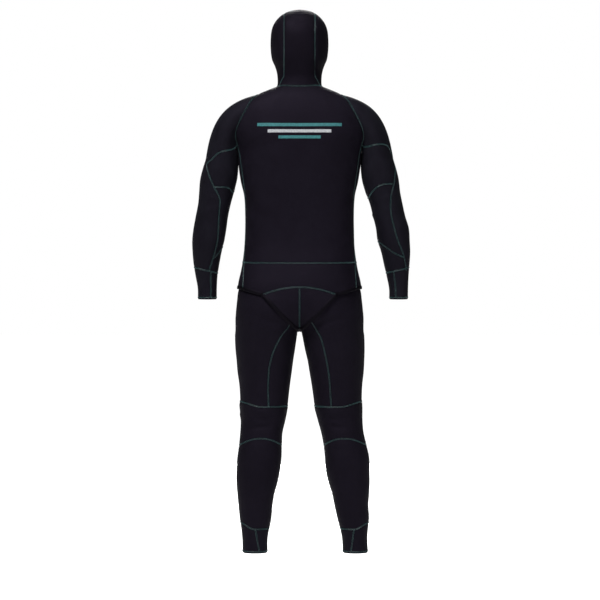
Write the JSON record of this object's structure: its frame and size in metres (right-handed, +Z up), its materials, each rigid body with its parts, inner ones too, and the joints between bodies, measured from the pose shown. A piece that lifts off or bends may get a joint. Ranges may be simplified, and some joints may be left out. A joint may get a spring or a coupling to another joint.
{
  "type": "full wetsuit",
  "caption": "Two-piece hooded neoprene wetsuit: jacket with beaver tail over high-waisted trousers, panelled, with smooth-skin wrist and ankle seals.",
  "frame": {"origin": "centre of the shoulder yoke, the place on the wearer's spine or on a hanger that carries the suit, 1500 mm above the wearer's sole", "axes": "+Z up along the body, +X to the wearer's left, -Y the way the wearer faces"},
  "size_m": [0.6737, 0.2556, 1.6711],
  "materials": {
    "neoprene": "nylon-lined neoprene, fine jersey knit",
    "pad": "ribbed neoprene pad",
    "smooth_skin": "smooth-skin neoprene, satin",
    "metal": "satin stainless steel"
  },
  "bodies": {
    "torso": {"back_panel": "neoprene", "lumbar_panel": "neoprene", "side_panel_left": "neoprene", "side_panel_right": "neoprene", "chest_panel": "neoprene", "belly_panel": "neoprene", "chest_pad": "pad", "tail_panel_left": "neoprene", "tail_panel_right": "neoprene", "tail_gusset": "neoprene", "turn_lock_base_left": "metal", "turn_lock_base_right": "metal", "trouser_waist_front": "neoprene", "trouser_waist_back": "neoprene", "hood_neck": "neoprene", "shoulder_left": "neoprene", "shoulder_right": "neoprene", "seat_left": "neoprene", "seat_right": "neoprene"},
    "hood": {"hood_centre_panel": "neoprene", "hood_side_left": "neoprene", "hood_side_right": "neoprene", "face_seal": "smooth_skin", "hood_chin_panel": "neoprene"},
    "tail_flap": {"tail_flap": "neoprene", "eyelet_plates": "metal"},
    "turn_button_left": {"turn_button_left": "metal"},
    "turn_button_right": {"turn_button_right": "metal"},
    "upper_arm_left": {"sleeve_outer_left": "neoprene", "sleeve_inner_left": "neoprene"},
    "forearm_left": {"elbow_left": "neoprene", "forearm_outer_left": "neoprene", "forearm_inner_left": "neoprene", "cuff_left": "neoprene", "wrist_seal_left": "smooth_skin"},
    "thigh_left": {"thigh_outer_left": "neoprene", "thigh_inner_left": "neoprene"},
    "shank_left": {"knee_back_left": "neoprene", "knee_pad_left": "neoprene", "calf_panel_left": "neoprene", "shin_panel_left": "neoprene", "ankle_cuff_left": "neoprene", "ankle_seal_left": "smooth_skin"},
    "upper_arm_right": {"sleeve_outer_right": "neoprene", "sleeve_inner_right": "neoprene"},
    "forearm_right": {"elbow_right": "neoprene", "forearm_outer_right": "neoprene", "forearm_inner_right": "neoprene", "cuff_right": "neoprene", "wrist_seal_right": "smooth_skin"},
    "thigh_right": {"thigh_outer_right": "neoprene", "thigh_inner_right": "neoprene"},
    "shank_right": {"knee_back_right": "neoprene", "knee_pad_right": "neoprene", "calf_panel_right": "neoprene", "shin_panel_right": "neoprene", "ankle_cuff_right": "neoprene", "ankle_seal_right": "smooth_skin"}
  },
  "joints": [
    {"name": "neck_nod", "type": "hinge", "parent": "torso", "child": "hood", "pos_m": [0, 0.012, 0.085], "axis": [1, 0, 0], "range_deg": [-22, 28], "stiffness_Nm_per_rad": 2, "deforming": ["hood_neck", "hood_chin_panel"]},
    {"name": "shoulder_left", "type": "hinge", "parent": "torso", "child": "upper_arm_left", "pos_m": [0.203, 0.005, -0.055], "axis": [0, -1, 0], "range_deg": [0, 60], "stiffness_Nm_per_rad": 4, "deforming": ["shoulder_left"]},
    {"name": "elbow_left", "type": "hinge", "parent": "upper_arm_left", "child": "forearm_left", "pos_m": [0.274, -0.004, -0.34], "axis": [-1, 0, 0], "range_deg": [0, 90], "stiffness_Nm_per_rad": 2, "deforming": ["elbow_left"]},
    {"name": "hip_left", "type": "hinge", "parent": "torso", "child": "thigh_left", "pos_m": [0.095, 0.005, -0.62], "axis": [-1, 0, 0], "range_deg": [-10, 45], "stiffness_Nm_per_rad": 6, "deforming": ["seat_left"]},
    {"name": "knee_left", "type": "hinge", "parent": "thigh_left", "child": "shank_left", "pos_m": [0.114, 0.01, -0.978], "axis": [1, 0, 0], "range_deg": [0, 75], "stiffness_Nm_per_rad": 3, "deforming": ["knee_back_left", "knee_pad_left"]},
    {"name": "shoulder_right", "type": "hinge", "parent": "torso", "child": "upper_arm_right", "pos_m": [-0.203, 0.005, -0.055], "axis": [0, 1, 0], "range_deg": [0, 60], "stiffness_Nm_per_rad": 4, "deforming": ["shoulder_right"]},
    {"name": "elbow_right", "type": "hinge", "parent": "upper_arm_right", "child": "forearm_right", "pos_m": [-0.28, -0.004, -0.34], "axis": [-1, 0, 0], "range_deg": [0, 90], "stiffness_Nm_per_rad": 2, "deforming": ["elbow_right"]},
    {"name": "hip_right", "type": "hinge", "parent": "torso", "child": "thigh_right", "pos_m": [-0.095, 0.005, -0.62], "axis": [-1, 0, 0], "range_deg": [-10, 45], "stiffness_Nm_per_rad": 6, "deforming": ["seat_right"]},
    {"name": "knee_right", "type": "hinge", "parent": "thigh_right", "child": "shank_right", "pos_m": [-0.128, 0.01, -0.978], "axis": [1, 0, 0], "range_deg": [0, 75], "stiffness_Nm_per_rad": 3, "deforming": ["knee_back_right", "knee_pad_right"]},
    {"name": "tail_flap_fold", "type": "hinge", "parent": "torso", "child": "tail_flap", "pos_m": [0, -0.105, -0.643], "axis": [1, 0, 0], "range_deg": [0, 95], "stiffness_Nm_per_rad": 0.3, "deforming": ["tail_gusset"]},
    {"name": "turn_button_left", "type": "hinge", "parent": "torso", "child": "turn_button_left", "pos_m": [0.03, -0.128, -0.525], "axis": [0, -1, 0], "range_deg": [0, 90]},
    {"name": "turn_button_right", "type": "hinge", "parent": "torso", "child": "turn_button_right", "pos_m": [-0.03, -0.128, -0.525], "axis": [0, -1, 0], "range_deg": [0, 90]}
  ]
}
